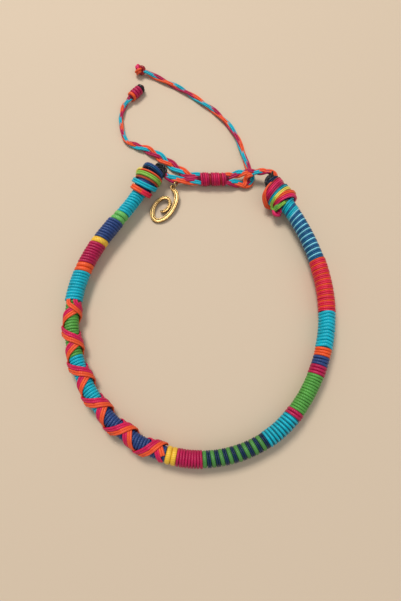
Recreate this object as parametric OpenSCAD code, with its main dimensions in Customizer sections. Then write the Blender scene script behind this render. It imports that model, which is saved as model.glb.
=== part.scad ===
// Wrapped-thread anklet: a stiff band of wound sections, two braided ties that run
// through a sliding knot, and a spiral charm on a jump ring. Millimetres.
// It lies on the surface z = 0, resting on the ties, the sliding knot and the far side of
// the band. The end knobs almost touch the surface.

/* [Band] */
// Diameter of the cord core inside the wound sections
core_d = 3; // [2.6:0.1:3]
// Clearance between the core and the winding around it
core_clearance = 0.12; // [0.1:0.01:0.15]
// Gap between one wound section and the next
section_gap = 0.1; // [0.06:0.01:0.2]
// Height of the band's middle plane above the surface at the middle of the loop
band_lift = 3.66; // [3.66:0.01:4.2]
// Slope of the band's plane, which rises towards the thick end knobs
band_tilt = 1.05; // [1.02:0.01:1.07]

/* [Crisscross threads] */
// Length of band that one turn of a crisscross thread takes
cross_pitch = 9.6; // [8.5:0.1:11]
// Width of one flattened crisscross thread
thread_w = 1.2; // [0.9:0.05:1.25]
// Thickness of one flattened crisscross thread
thread_h = 0.4; // [0.35:0.05:0.45]
// Gap between a crisscross thread and what it lies on
thread_gap = 0.06; // [0.05:0.01:0.1]

/* [Knobs] */
// Thickness of the wraps round an end knob
wrap_h = 0.9; // [0.8:0.05:0.95]
// Diameter of the wound mound under the wraps
mound_d = 5.9; // [5.4:0.1:5.9]

/* [Ties] */
// Diameter of a braided tie
tie_d = 1.9; // [1.7:0.05:1.95]
// Diameter of the black cord tips that hold the ties
tip_d = 1.7; // [1.4:0.1:2]
// Length of the sliding knot
slide_len = 8.2; // [7.5:0.1:8.2]
// Diameter of the sliding knot at its fuller ends
slide_d = 4.5; // [4.3:0.1:4.6]

/* [Charm] */
// Half length of the spiral at its outer end
spiral_long = 6.6; // [6.2:0.1:6.8]
// Half width of the spiral at its outer end
spiral_wide = 3.2; // [3:0.1:3.4]
// Thickness of the charm
charm_h = 1; // [0.8:0.1:1.2]
// Radius of the jump ring, to the middle of its wire
ring_r = 1.8; // [1.78:0.01:1.85]
// Wire diameter of the jump ring
ring_wire = 0.5; // [0.4:0.05:0.5]

/* [Hidden] */
$fn = 64;
UP = [0, 0, 1];

ORANGE = [1, 0.35, 0.14];
TURQUOISE = [0.1, 0.66, 0.78];
GREEN = [0.31, 0.63, 0.24];
LIME = [0.58, 0.78, 0.28];
NAVY = [0.12, 0.18, 0.42];
YELLOW = [0.98, 0.76, 0.22];
MAGENTA = [0.74, 0.1, 0.38];
PINK = [0.9, 0.15, 0.42];
RED = [0.88, 0.18, 0.26];
BLACK = [0.08, 0.08, 0.09];
GOLD = [0.83, 0.66, 0.33];

// The wound sections in order, down the left side, round and up the right side.
// Columns: name, length, bend to the left in degrees, outer diameter, colour
NAME = 0;
LENGTH = 1;
BEND = 2;
OUTER_D = 3;
COLOUR = 4;
SECTIONS = [
    ["wound_turquoise_1", 8.6, -8, 4.4, TURQUOISE],
    ["wound_green_1", 3.2, 0, 4.5, GREEN],
    ["wound_navy_1", 7.3, 5, 5.0, NAVY],
    ["wound_yellow_1", 1.9, 2, 5.0, YELLOW],
    ["wound_magenta_1", 7.1, 8, 5.1, MAGENTA],
    ["wound_orange_1", 2.8, 4, 5.0, ORANGE],
    ["wound_turquoise_2", 9.1, 13, 5.1, TURQUOISE],
    ["crossed_green", 16.5, 24, 4.1, GREEN],
    ["crossed_turquoise", 16.3, 21, 4.1, TURQUOISE],
    ["crossed_navy", 21.7, 34, 4.1, NAVY],
    ["wound_yellow_2", 2.9, 5, 4.8, YELLOW],
    ["wound_magenta_2", 6.8, 12, 4.8, MAGENTA],
    ["striped_green_navy", 17.9, 30, 4.5, GREEN],
    ["wound_turquoise_3", 9.4, 17, 4.8, TURQUOISE],
    ["wound_magenta_3", 1.9, 3, 4.9, MAGENTA],
    ["wound_green_2", 11.4, 14, 4.6, GREEN],
    ["wound_magenta_4", 2.8, 3, 4.8, MAGENTA],
    ["wound_navy_2", 2.7, 3, 4.7, NAVY],
    ["wound_orange_2", 2.5, 3, 4.7, ORANGE],
    ["wound_turquoise_4", 10.7, 13, 4.9, TURQUOISE],
    ["wound_red", 16.3, 18, 5.1, RED],
    ["striped_navy_blue", 16.4, 13, 4.7, NAVY],
    ["wound_turquoise_5", 3.3, 1, 4.7, TURQUOISE],
];
// Where the first section starts, and its heading
BAND_START = [-18.7, 35.0, 241];
// Sections that the crisscross threads run over, first and last
CROSS_FIRST = 7;
CROSS_LAST = 9;

// Wraps round the two end knobs, counted from the band outwards.
// Columns: name, distance from the band's end, slant in degrees, outer diameter,
// colour, width along the band
SPOT = 1;
SLANT = 2;
WIDTH = 5;
LEFT_WRAPS = [
    ["left_wrap_orange", 1.2, -12, 6.8, ORANGE, 1.6],
    ["left_wrap_turquoise", 3.05, -5, 8.6, TURQUOISE, 1.7],
    ["left_wrap_thin_orange_1", 4.6, -2, 8.2, ORANGE, 0.95],
    ["left_wrap_lime", 6.1, 0, 8.5, LIME, 1.5],
    ["left_wrap_thin_orange_2", 7.55, 2, 8.1, ORANGE, 0.95],
    ["left_wrap_navy", 9.25, 7, 7.4, NAVY, 1.7],
];
RIGHT_WRAPS = [
    ["right_wrap_green", 0.65, -7, 6.8, GREEN, 1.1],
    ["right_wrap_pink", 1.8, -7, 8.0, PINK, 1.0],
    ["right_wrap_orange", 2.85, -7, 8.3, ORANGE, 1.0],
    ["right_wrap_yellow", 4.1, -4, 8.5, YELLOW, 1.0],
    ["right_wrap_teal", 5.25, -2, 8.6, TURQUOISE, 1.0],
    ["right_wrap_magenta", 7.1, 2, 8.3, MAGENTA, 2.0],
    ["right_wrap_navy", 9.4, 0, 5.1, NAVY, 1.1],
];
// How far the core reaches out of the band, and how far the mounds of thread over it do
LEFT_KNOB_LEN = 9.7;
RIGHT_KNOB_LEN = 10;
LEFT_MOUND_LEN = 9.7;
RIGHT_MOUND_LEN = 8.7;
// Where each mound is at its full thickness, counted from the band
LEFT_FULL = [3.4, 6.7];
RIGHT_FULL = [2.15, 7.4];
// Side of the knob, seen along it from the band, that faces the middle of the loop
LEFT_INSIDE = -1;
RIGHT_INSIDE = 1;

// Routes of the cords: chosen points that each tube passes through. A tip starts at
// the end of its knob, and each route starts where the one before it ends. A tie that
// lies on the surface has its middle at the height LAID
LAID = tie_d / 2;
LEFT_TIP = [[-13.4, 44.7, 4.5], [-12.3, 45.2, 4.5], [-11.3, 44.7, 4.2],
    [-10.8, 43.6, 3.7], [-10.6, 42.7, 3.3]];
RIGHT_TIP = [[23.5, 40.9, 4.7], [23.4, 41.9, 4.8], [22.7, 42.6, 4.7]];
LEFT_TIE = [[-10.6, 42.7, 3.3], [-9.9, 41.9, 3.0], [-8.5, 41.4, 2.6], [-6.7, 41.1, 2.4],
    [-4.6, 41.0, 2.25], [-1.9, 40.7, 2.2], [0.68, 40.35, 2.25]];
RIGHT_TIE = [[22.7, 42.6, 4.7], [21.6, 42.9, 4.4], [20.1, 43.1, 4.0], [18.6, 43.2, 3.6],
    [16.7, 43.3, 3.3], [14.1, 43.3, 2.9], [11.5, 42.9, 2.4], [8.92, 42.55, 2.25]];
TIE_TURN = [[8.92, 40.35, 2.25], [11.1, 40.5, 1.7], [13.1, 40.35, 1.2], [14.9, 40.2, LAID],
    [16.4, 40.6, LAID], [17.2, 41.8, LAID], [17.3, 43.5, LAID], [16.7, 45.8, LAID]];
TAIL_LONG = [[16.7, 45.8, LAID], [16.3, 47.3, LAID], [15.5, 50.0, LAID], [14.8, 52.8, LAID],
    [14.0, 55.7, LAID], [13.1, 58.5, LAID], [11.7, 61.4, LAID], [10.0, 64.1, LAID],
    [7.8, 66.9, LAID], [5.3, 69.6, LAID], [2.3, 72.2, LAID], [-0.9, 74.9, LAID],
    [-4.5, 77.7, LAID], [-8.4, 80.2, LAID], [-12.2, 82.4, LAID], [-15.8, 84.3, 1.15],
    [-19.15, 86.1, 1.65]];
TAIL_SHORT = [[0.68, 42.55, 2.25], [-1.3, 42.9, 1.8], [-3.5, 43.8, 1.3], [-6.1, 45.7, LAID],
    [-8.7, 47.6, LAID], [-11.5, 49.8, LAID], [-14.4, 52.0, LAID], [-17.4, 53.8, LAID],
    [-20.7, 55.1, LAID], [-23.5, 56.4, LAID], [-25.2, 58.7, LAID], [-26.0, 61.7, LAID],
    [-26.6, 65.1, LAID], [-26.5, 68.5, LAID], [-25.6, 71.7, 1.15], [-23.55, 74.5, 1.7]];
SLIDE_AT = [0.7, 41.45, 2.25];
KNOT_LONG_AT = [-20.9, 86.4, 1.98];
KNOT_SHORT_AT = [-23.5, 74.55, 1.75];
KNOT_SHORT_HEADING = 49;

// The charm lies in its own plane, with its long axis turned and one end lifted
CHARM_AT = [-11.3, 32.0, 1.05];
CHARM_TURN = 57;
CHARM_RISE = 6.4;
EYE_AT = [7.87, 1.57, 0];
// The jump ring stands turned and leaning over on the left tie
RING_AT = [-7.24, 40.85, 2.34];
RING_TURN = 57.4;
RING_LEAN = 21.8;

TIE_SIDES = 8;
CORE_SIDES = 12;
THREAD_SIDES = 6;
ARM_SIDES = 10;

// The band's path: poses are [x, y, heading] in the band's plane

function advance(pose, length, bend) =
    abs(bend) < 0.001
    ? [pose[0] + length * cos(pose[2]), pose[1] + length * sin(pose[2]), pose[2]]
    : let (radius = length / bend * 180 / PI)
      [
          pose[0] + radius * (sin(pose[2] + bend) - sin(pose[2])),
          pose[1] - radius * (cos(pose[2] + bend) - cos(pose[2])),
          pose[2] + bend
      ];

SECTION_COUNT = len(SECTIONS);
POSES = [
    for (i = 0, pose = BAND_START; i <= SECTION_COUNT;
        pose = i < SECTION_COUNT ? advance(pose, SECTIONS[i][LENGTH], SECTIONS[i][BEND]) : pose,
        i = i + 1)
    pose
];
STARTS = [
    for (i = 0, at = 0; i <= SECTION_COUNT;
        at = i < SECTION_COUNT ? at + SECTIONS[i][LENGTH] : at,
        i = i + 1)
    at
];
BAND_END = POSES[SECTION_COUNT];
// The left knob points backwards out of the band's start
LEFT_KNOB = [BAND_START[0], BAND_START[1], BAND_START[2] + 180];

// Pose at a distance along the band
function pose_at(distance) =
    let (
        i = max([for (k = [0 : SECTION_COUNT - 1]) if (STARTS[k] <= distance) k]),
        past = distance - STARTS[i]
    )
    advance(POSES[i], past, SECTIONS[i][BEND] * past / SECTIONS[i][LENGTH]);

// Sweeping: a ring is a closed loop of points, a loft joins rings into one solid

function unit(v) = v / norm(v);

function flat_left(v) = unit(cross(UP, v));

function ring(centre, across, along, sides) =
    [for (k = [0 : sides - 1]) let (a = 360 * k / sides) centre + across * cos(a) + along * sin(a)];

function heading_at(points, i) =
    unit(points[min(i + 1, len(points) - 1)] - points[max(i - 1, 0)]);

module loft(rings) {
    sides = len(rings[0]);
    last = len(rings) - 1;
    corners = [for (r = rings) each r];
    walls = [
        for (i = [0 : last - 1], k = [0 : sides - 1])
        let (here = i * sides + k, beside = i * sides + (k + 1) % sides)
        each [[here, here + sides, beside + sides], [here, beside + sides, beside]]
    ];
    first_cap = [for (k = [0 : sides - 1]) k];
    last_cap = [for (k = [sides - 1 : -1 : 0]) last * sides + k];
    polyhedron(corners, concat([first_cap], walls, [last_cap]));
}

// A round tube through chosen points, whose two end faces may be turned
module tube(points, d, sides, first = undef, last = undef) {
    end = len(points) - 1;
    loft([
        for (i = [0 : end])
        let (
            given = i == 0 ? first : i == end ? last : undef,
            forward = is_undef(given) ? heading_at(points, i) : given,
            left = flat_left(forward)
        )
        ring(points[i], left * d / 2, cross(forward, left) * d / 2, sides)
    ]);
}

// Direction of the face where one route ends and the next one starts
function joint_heading(route, next) = unit(next[1] - route[len(route) - 2]);

module in_band_plane() {
    translate([0, 0, band_lift]) rotate([band_tilt, 0, 0]) children();
}

// Where a point of the band's plane lies in space
function in_space(x, y) = [x, y * cos(band_tilt), band_lift + y * sin(band_tilt)];

// Point on the axis of a knob, and the direction out of it
function knob_point(pose, distance) =
    in_space(pose[0] + distance * cos(pose[2]), pose[1] + distance * sin(pose[2]));
function knob_heading(pose) = knob_point(pose, 1) - knob_point(pose, 0);

// Band

CORE_STEP = 3.2;

module core() {
    steps = ceil(STARTS[SECTION_COUNT] / CORE_STEP);
    route = concat(
        [advance(LEFT_KNOB, LEFT_KNOB_LEN, 0)],
        [for (i = [0 : steps]) pose_at(STARTS[SECTION_COUNT] * i / steps)],
        [advance(BAND_END, RIGHT_KNOB_LEN, 0)]
    );
    color(BLACK) in_band_plane() tube([for (p = route) [p[0], p[1], 0]], core_d, CORE_SIDES);
}

module winding_section(s) {
    bore_d = core_d + 2 * core_clearance;
    half_gap = section_gap / 2;
    if (s[BEND] == 0) {
        translate([half_gap, 0, 0]) rotate([0, 90, 0]) difference() {
            cylinder(d = s[OUTER_D], h = s[LENGTH] - section_gap);
            translate([0, 0, -1]) cylinder(d = bore_d, h = s[LENGTH] + 2);
        }
    } else {
        radius = s[LENGTH] / abs(s[BEND]) * 180 / PI;
        trim = half_gap / radius * 180 / PI;
        mirror([0, s[BEND] < 0 ? 1 : 0, 0])
        translate([0, radius, 0])
        rotate(trim - 90)
        rotate_extrude(angle = abs(s[BEND]) - 2 * trim, $fn = 360)
        translate([radius, 0]) difference() {
            circle(d = s[OUTER_D], $fn = 64);
            circle(d = bore_d, $fn = 64);
        }
    }
}

module band_section(i) {
    color(SECTIONS[i][COLOUR]) in_band_plane()
    translate([POSES[i][0], POSES[i][1], 0]) rotate(POSES[i][2]) winding_section(SECTIONS[i]);
}

// Crisscross threads: two pairs of threads wound in opposite senses.
// Angle 0 is the outer side of the band, 90 the top and 180 the inner side.

// Distance from the ends of the crossed sections to the ends of the threads
CROSS_INSET = 0.7;
CROSS_START = STARTS[CROSS_FIRST] + CROSS_INSET;
CROSS_END = STARTS[CROSS_LAST + 1] - CROSS_INSET;
// The first place where the pairs cross near the inner side, and its angle
TO_FIRST_CROSSING = 3.5;
FIRST_CROSSING = STARTS[CROSS_FIRST] + TO_FIRST_CROSSING;
CROSSING_ANGLE = 140;
STEPS_PER_TURN = 16;
// Distance along the band from one thread of a pair to the other
CROSS_SLOPE = atan(PI * (SECTIONS[CROSS_FIRST][OUTER_D] + thread_h) / cross_pitch);
PAIR_SPACING = (thread_w + thread_gap) / sin(CROSS_SLOPE);

function around_band(distance, angle, r) =
    let (pose = pose_at(distance), left = [-sin(pose[2]), cos(pose[2]), 0])
    [pose[0], pose[1], 0] + (left * -cos(angle) + UP * sin(angle)) * r;

// The over pair rises where it crosses the under pair, twice in each turn. It is down
// where the squared cosine of the angle to the crossing is under the first value, and
// fully up where it is over the second
LIFT_FROM = 0.12;
LIFT_FULL = 0.5;
function over_lift(angle) =
    let (
        near = pow(cos(angle - CROSSING_ANGLE), 2),
        x = min(1, max(0, (near - LIFT_FROM) / (LIFT_FULL - LIFT_FROM)))
    )
    (thread_h + thread_gap) * x * x * (3 - 2 * x);

module cross_thread(sense, shift, over) {
    bed_r = SECTIONS[CROSS_FIRST][OUTER_D] / 2 + thread_gap + thread_h / 2;
    steps = ceil((CROSS_END - CROSS_START) / cross_pitch * STEPS_PER_TURN);
    places = [for (i = [0 : steps]) CROSS_START + (CROSS_END - CROSS_START) * i / steps];
    angles = [
        for (at = places)
        CROSSING_ANGLE + sense * 360 * (at - FIRST_CROSSING - shift * PAIR_SPACING) / cross_pitch
    ];
    lifts = [for (a = angles) over ? over_lift(a) : 0];
    points = [for (i = [0 : steps]) around_band(places[i], angles[i], bed_r + lifts[i])];
    in_band_plane() loft([
        for (i = [0 : steps])
        let (
            forward = heading_at(points, i),
            outward = unit(points[i] - around_band(places[i], angles[i], 0)),
            side = unit(cross(forward, outward))
        )
        ring(points[i], outward * thread_h / 2, side * thread_w / 2, THREAD_SIDES)
    ]);
}

module cross_over_magenta() {
    color(MAGENTA) cross_thread(1, -0.5, true);
}

module cross_over_orange() {
    color(ORANGE) cross_thread(1, 0.5, true);
}

module cross_under_magenta() {
    color(MAGENTA) cross_thread(-1, -0.5, false);
}

module cross_under_orange() {
    color(ORANGE) cross_thread(-1, 0.5, false);
}

// Knobs: a mound of thread round the core with slanted wraps over it

module on_left_knob() {
    in_band_plane() translate([LEFT_KNOB[0], LEFT_KNOB[1], 0]) rotate(LEFT_KNOB[2]) children();
}

module on_right_knob() {
    in_band_plane() translate([BAND_END[0], BAND_END[1], 0]) rotate(BAND_END[2]) children();
}

// The mound is slim under the first and the last wrap and full between them
MOUND_SLIM_R = 2.3;
MOUND_RISE = 0.6;

module mound(length, full) {
    bore_r = core_d / 2 + core_clearance;
    rotate([0, 90, 0]) rotate_extrude() polygon([
        [bore_r, section_gap],
        [MOUND_SLIM_R, section_gap],
        [MOUND_SLIM_R, full[0] - MOUND_RISE],
        [mound_d / 2, full[0]],
        [mound_d / 2, full[1]],
        [MOUND_SLIM_R, full[1] + MOUND_RISE],
        [MOUND_SLIM_R, length],
        [bore_r, length],
    ]);
}

module wrap(w, inside) {
    r = w[OUTER_D] / 2 - wrap_h / 2;
    straight = w[WIDTH] - wrap_h;
    color(w[COLOUR])
    translate([w[SPOT], 0, 0]) rotate(inside * w[SLANT]) rotate([0, 90, 0])
    rotate_extrude() translate([r, 0]) {
        square([wrap_h, straight], center = true);
        for (end = [-1, 1]) translate([0, end * straight / 2]) circle(d = wrap_h, $fn = 32);
    }
}

module left_knob_mound() {
    color(NAVY) on_left_knob() mound(LEFT_MOUND_LEN, LEFT_FULL);
}

module right_knob_mound() {
    color(NAVY) on_right_knob() mound(RIGHT_MOUND_LEN, RIGHT_FULL);
}

// Ties, knots and tips

LEFT_TIE_JOINT = joint_heading(LEFT_TIP, LEFT_TIE);
RIGHT_TIE_JOINT = joint_heading(RIGHT_TIP, RIGHT_TIE);
LONG_TAIL_JOINT = joint_heading(TIE_TURN, TAIL_LONG);
// Directions out of the sliding knot's two faces
SLIDE_RIGHT = [1, 0, 0];
SLIDE_LEFT = [-1, 0, 0];

module left_tip() {
    start = knob_point(LEFT_KNOB, LEFT_KNOB_LEN + section_gap);
    color(BLACK)
    tube(concat([start], LEFT_TIP), tip_d, TIE_SIDES, knob_heading(LEFT_KNOB), LEFT_TIE_JOINT);
}

module right_tip() {
    start = knob_point(BAND_END, RIGHT_KNOB_LEN + section_gap);
    color(BLACK)
    tube(concat([start], RIGHT_TIP), tip_d, TIE_SIDES, knob_heading(BAND_END), RIGHT_TIE_JOINT);
}

module left_tie() {
    color(ORANGE) tube(LEFT_TIE, tie_d, TIE_SIDES, LEFT_TIE_JOINT, SLIDE_RIGHT);
}

module right_tie() {
    color(TURQUOISE) tube(RIGHT_TIE, tie_d, TIE_SIDES, RIGHT_TIE_JOINT, SLIDE_LEFT);
}

module tie_turn() {
    color(ORANGE) tube(TIE_TURN, tie_d, TIE_SIDES, SLIDE_RIGHT, LONG_TAIL_JOINT);
}

module long_tail() {
    color(MAGENTA) tube(TAIL_LONG, tie_d, TIE_SIDES, LONG_TAIL_JOINT);
}

module short_tail() {
    knot_face = [cos(KNOT_SHORT_HEADING), sin(KNOT_SHORT_HEADING), 0];
    color(TURQUOISE) tube(TAIL_SHORT, tie_d, TIE_SIDES, SLIDE_LEFT, knot_face);
}

SLIDE_TURNS = 8;
SLIDE_WAIST = 0.25;

// Turns touch, as their thread is this much thicker than their share of the length
TURN_OVERLAP = 1.08;
// Depth to which the mass inside fills the turns, in thread diameters
TURN_DEPTH = 0.6;

// Wound turns in a row along +X, fused to the mass inside them
module turns_in_a_row(count, length, d, waist) {
    thread = length / count * TURN_OVERLAP;
    step = (length - thread) / (count - 1);
    rotate([0, 90, 0]) {
        cylinder(d = d - 2 * waist - 2 * TURN_DEPTH * thread, h = length);
        for (i = [0 : count - 1]) {
            slim = waist * sin(180 * i / (count - 1));
            translate([0, 0, thread / 2 + i * step])
            rotate_extrude() translate([(d - thread) / 2 - slim, 0]) circle(d = thread, $fn = 32);
        }
    }
}

module sliding_knot() {
    color(MAGENTA) translate(SLIDE_AT) turns_in_a_row(SLIDE_TURNS, slide_len, slide_d, SLIDE_WAIST);
}

KNOT_D = 3.9;
KNOT_THREAD = 1.3;
KNOT_MIDDLE_D = 3.4;

module long_tail_knot() {
    color(ORANGE) translate(KNOT_LONG_AT) {
        sphere(d = KNOT_MIDDLE_D);
        rotate([70, 0, 30]) rotate_extrude() translate([(KNOT_D - KNOT_THREAD) / 2, 0])
        circle(d = KNOT_THREAD, $fn = 32);
    }
}

SHORT_KNOT_LEN = 5.6;
SHORT_KNOT_D = 3.4;
SHORT_KNOT_TURNS = 5;
// A negative waist makes the knot fuller in the middle
SHORT_KNOT_WAIST = -0.05;

module short_tail_knot() {
    color(MAGENTA) translate(KNOT_SHORT_AT) rotate(KNOT_SHORT_HEADING)
    turns_in_a_row(SHORT_KNOT_TURNS, SHORT_KNOT_LEN, SHORT_KNOT_D, SHORT_KNOT_WAIST);
}

// Charm and jump ring

// The spiral starts a little before the end of its long axis and turns one and a half times
SPIRAL_START = -14;
SPIRAL_SWEEP = 554;
SPIRAL_STEPS = 46;
SPIRAL_TURNED = 540;
// Half length and half width that the spiral loses over its turns
LONG_LOSS = 5.1;
WIDE_LOSS = 2.4;
// Width of the arm at its start and at its inner end, and the share of its length by which
// it is slim
ARM_WIDE = 1.6;
ARM_SLIM = 0.95;
SLIM_FROM = 0.62;
// The arm's first point, at the eye, and the width and thickness of its two ends
ARM_FROM = [7.35, 1.05, 0];
ARM_FROM_WIDE = 0.6;
ARM_FROM_HIGH = 0.6;
ARM_TIP = 0.4;
EYE_R = 0.75;
EYE_WIRE = 0.6;

// The spiral tightens along its length evenly, and across it faster near the middle
function spiral_point(turned) =
    let (t = turned / SPIRAL_TURNED)
    [
        (spiral_long - LONG_LOSS * t) * cos(turned),
        -(spiral_wide - WIDE_LOSS * t * t) * sin(turned),
        0
    ];

// Width of the arm at a share of its length, and what its thickness is multiplied by
function arm_width(share) =
    share == 0 ? ARM_FROM_WIDE
    : (ARM_WIDE + (ARM_SLIM - ARM_WIDE) * min(1, share / SLIM_FROM)) * (share == 1 ? ARM_TIP : 1);
function arm_thickness(share) = charm_h * (share == 0 ? ARM_FROM_HIGH : share == 1 ? ARM_TIP : 1);

module spiral_charm() {
    angles = [for (i = [0 : SPIRAL_STEPS]) SPIRAL_START + SPIRAL_SWEEP * i / SPIRAL_STEPS];
    points = concat([ARM_FROM], [for (a = angles) spiral_point(a)]);
    last = len(points) - 1;
    color(GOLD) translate(CHARM_AT) rotate([0, 0, CHARM_TURN]) rotate([0, -CHARM_RISE, 0]) {
        loft([
            for (i = [0 : last])
            let (left = flat_left(heading_at(points, i)))
            ring(
                points[i],
                left * arm_width(i / last) / 2,
                UP * arm_thickness(i / last) / 2,
                ARM_SIDES
            )
        ]);
        translate(EYE_AT) rotate_extrude() translate([EYE_R, 0]) circle(d = EYE_WIRE, $fn = 32);
    }
}

module jump_ring() {
    color(GOLD) translate(RING_AT) rotate([0, 0, RING_TURN]) rotate([90 + RING_LEAN, 0, 0])
    rotate_extrude() translate([ring_r, 0]) circle(d = ring_wire, $fn = 32);
}

core();
for (i = [0 : SECTION_COUNT - 1]) band_section(i);
cross_over_magenta();
cross_over_orange();
cross_under_magenta();
cross_under_orange();
left_knob_mound();
right_knob_mound();
for (w = LEFT_WRAPS) on_left_knob() wrap(w, LEFT_INSIDE);
for (w = RIGHT_WRAPS) on_right_knob() wrap(w, RIGHT_INSIDE);
left_tip();
right_tip();
left_tie();
right_tie();
tie_turn();
sliding_knot();
long_tail();
short_tail();
long_tail_knot();
short_tail_knot();
spiral_charm();
jump_ring();
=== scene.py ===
import math
from collections import namedtuple

import bpy
import numpy as np
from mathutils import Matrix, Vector


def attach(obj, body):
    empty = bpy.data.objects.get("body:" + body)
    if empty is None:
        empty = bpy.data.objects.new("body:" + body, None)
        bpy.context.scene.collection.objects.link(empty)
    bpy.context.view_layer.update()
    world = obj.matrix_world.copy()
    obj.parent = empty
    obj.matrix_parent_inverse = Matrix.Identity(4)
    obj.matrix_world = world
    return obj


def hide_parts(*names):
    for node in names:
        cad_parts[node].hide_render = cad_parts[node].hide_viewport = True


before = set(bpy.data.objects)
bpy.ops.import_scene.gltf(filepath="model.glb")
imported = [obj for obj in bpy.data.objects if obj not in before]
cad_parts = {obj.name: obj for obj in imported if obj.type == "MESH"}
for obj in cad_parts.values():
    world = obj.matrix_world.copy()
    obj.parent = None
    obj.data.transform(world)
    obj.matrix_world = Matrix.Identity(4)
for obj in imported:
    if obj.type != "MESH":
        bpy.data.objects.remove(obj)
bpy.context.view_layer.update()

# Lengths are in millimetres and angles in degrees, unless a comment says otherwise

MM = 0.001
UP = np.array([0.0, 0.0, 1.0])
RNG = np.random.default_rng(7)


def add_object(name, data):
    thing = bpy.data.objects.new(name, data)
    bpy.context.scene.collection.objects.link(thing)
    return thing


# Camera, as the photograph was taken: above the near side, tilted from straight down

FOCAL_PX = 420
LONG_SIDE_PX = 601
SENSOR = 36
CAMERA_AT = np.array([0.7, -35.9, 120.9])
CAMERA_TILT = 17
CLIP = (0.005, 5)  # nearest and farthest, in metres


def make_camera():
    data = bpy.data.cameras.new("camera")
    data.sensor_width = SENSOR
    data.lens = FOCAL_PX / LONG_SIDE_PX * SENSOR
    data.clip_start, data.clip_end = CLIP
    camera = add_object("camera", data)
    camera.location = CAMERA_AT * MM
    camera.rotation_euler = (math.radians(CAMERA_TILT), 0, 0)
    bpy.context.scene.camera = camera


make_camera()


# Colours, as seen in daylight

def srgb(red, green, blue):
    def linear(value):
        value /= 255
        return value / 12.92 if value <= 0.04045 else ((value + 0.055) / 1.055) ** 2.4
    return (linear(red), linear(green), linear(blue))


COLOURS = {
    "turquoise": srgb(0, 176, 198),
    "teal": srgb(8, 104, 122),
    "sky": srgb(132, 214, 232),
    "green": srgb(86, 160, 66),
    "leaf": srgb(104, 184, 92),
    "moss": srgb(74, 138, 64),
    "lime": srgb(140, 194, 74),
    "navy": srgb(40, 68, 126),
    "petrol": srgb(8, 88, 136),
    "midnight": srgb(0, 40, 76),
    "yellow": srgb(255, 190, 56),
    "lemon": srgb(255, 222, 98),
    # A darker copy of orange: painted shade for the thin orange thread sunk between two wraps
    "shaded_orange": srgb(206, 88, 54),
    "gold": srgb(250, 214, 110),
    "magenta": srgb(182, 14, 76),
    "rose": srgb(212, 18, 82),
    "pink": srgb(226, 36, 100),
    "orange": srgb(255, 88, 36),
    "coral": srgb(255, 88, 42),
    "red": srgb(224, 32, 66),
    "wine": srgb(160, 28, 36),
    "black": srgb(18, 18, 22),
}
METAL_TONES = (srgb(144, 112, 66), srgb(190, 160, 108))
CORE_TONES = (srgb(14, 14, 16), srgb(44, 44, 50))
FLOOR_COLOUR = srgb(204, 184, 160)


# Materials

def node_of(tree, kind, **inputs):
    node = tree.nodes.new(kind)
    for name, value in inputs.items():
        node.inputs[name].default_value = value
    return node


def maths(tree, operation, first, second=0.0):
    """A maths node's output, from numbers or outputs of other nodes."""
    node = tree.nodes.new("ShaderNodeMath")
    node.operation = operation
    for socket, value in zip(node.inputs, (first, second)):
        if isinstance(value, bpy.types.NodeSocket):
            tree.links.new(value, socket)
        else:
            socket.default_value = value
    return node.outputs[0]


def mixture(tree, first, *others):
    """The sum of values that are given with their weights."""
    total = maths(tree, "MULTIPLY", *first)
    for value, weight in others:
        total = maths(tree, "ADD", maths(tree, "MULTIPLY", value, weight), total)
    return total


def object_place(tree):
    return tree.nodes.new("ShaderNodeTexCoord").outputs["Object"]


def noise(tree, place, **inputs):
    node = node_of(tree, "ShaderNodeTexNoise", **inputs)
    tree.links.new(place, node.inputs["Vector"])
    return node.outputs["Fac"]


def paint(tree, surface, tone, tones, ends=(0, 1)):
    """Colours the surface from dark to light, as the tone goes from one end to the other."""
    ramp = tree.nodes.new("ShaderNodeValToRGB")
    for stop, end, colour in zip(ramp.color_ramp.elements, ends, tones):
        stop.position = end
        stop.color = (*colour, 1)
    tree.links.new(tone, ramp.inputs["Fac"])
    tree.links.new(ramp.outputs["Color"], surface.inputs["Base Color"])


def emboss(tree, surface, height, strength, metres):
    bump = node_of(tree, "ShaderNodeBump", Strength=strength, Distance=metres)
    tree.links.new(height, bump.inputs["Height"])
    tree.links.new(bump.outputs["Normal"], surface.inputs["Normal"])


def blank_material(name, **shader):
    material = bpy.data.materials.new(name)
    material.use_nodes = True
    tree = material.node_tree
    surface = tree.nodes["Principled BSDF"]
    for socket, value in shader.items():
        surface.inputs[socket.replace("_", " ")].default_value = value
    return material, tree, surface


PLY_TURN = 1.25  # length of thread in one turn of its plies
PLIES = 3
FIBRES_ALONG = 0.5  # in one millimetre of thread
FIBRES_DRIFT = 0.3  # along the thread, once round it
FIBRES_ACROSS = 22.0  # in one turn of the plies
DARKEST = 0.6
LIGHTEST = 1.22
TONE_ENDS = (0.28, 0.74)
# Beds are painted at this share of their thread's colour: painted shade in the gaps between threads
BED_PAINTED_SHADE = 0.3
BED_ROUGHNESS = 0.8


def toned(colour, factor):
    return [min(1, c * factor) for c in colour]


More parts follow.
